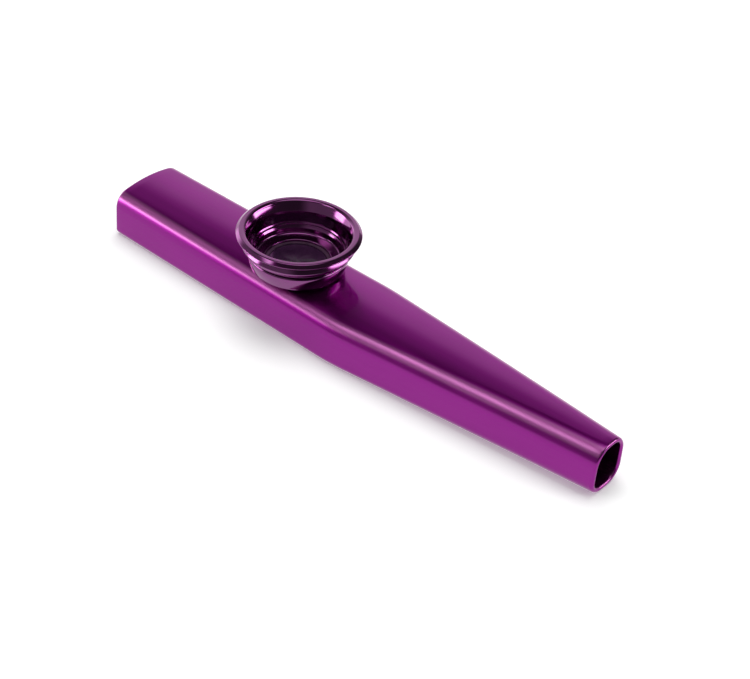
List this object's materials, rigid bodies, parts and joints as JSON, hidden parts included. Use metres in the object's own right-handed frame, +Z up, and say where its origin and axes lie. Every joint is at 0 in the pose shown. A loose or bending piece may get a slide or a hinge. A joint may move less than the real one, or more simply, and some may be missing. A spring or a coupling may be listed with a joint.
{
  "type": "kazoo",
  "caption": "Metal kazoo: a drawn flat-D tube that tapers to an oval blowing end, with a flared cup that screws over a thin film in the top.",
  "frame": {"origin": "on the floor plane under the middle of the body's length and width", "axes": "+X from the wide open end to the tapered blowing end, +Y across the width, +Z up towards the cap"},
  "size_m": [0.12, 0.025, 0.0185],
  "materials": {
    "anodised_body": "satin purple anodising with a soft gloss",
    "anodised_turret": "bright turned metal under deep purple anodising",
    "ring_card": "smooth pressed dark grey card",
    "film": "thin glossy smoke-dark film drawn tight"
  },
  "bodies": {
    "root": {"body_shell": "anodised_body", "turret_collar": "anodised_turret", "membrane_lower_ring": "ring_card", "membrane_film": "film"},
    "clamp_ring": {"membrane_upper_ring": "ring_card"},
    "screw_cap": {"cap": "anodised_turret"}
  },
  "joints": [
    {"name": "cap_rise", "type": "slide", "parent": "root", "child": "clamp_ring", "axis": [0, 0, 1], "range_m": [0, 0.00225]},
    {"name": "cap_turn", "type": "hinge", "parent": "clamp_ring", "child": "screw_cap", "pos_m": [-0.0164, 0, 0.0125], "axis": [0, 0, 1], "range_deg": [0, 1620]}
  ],
  "couplings": [
    {"joint": "cap_rise", "follows": "cap_turn", "m_per_rad": 0.00007957}
  ]
}
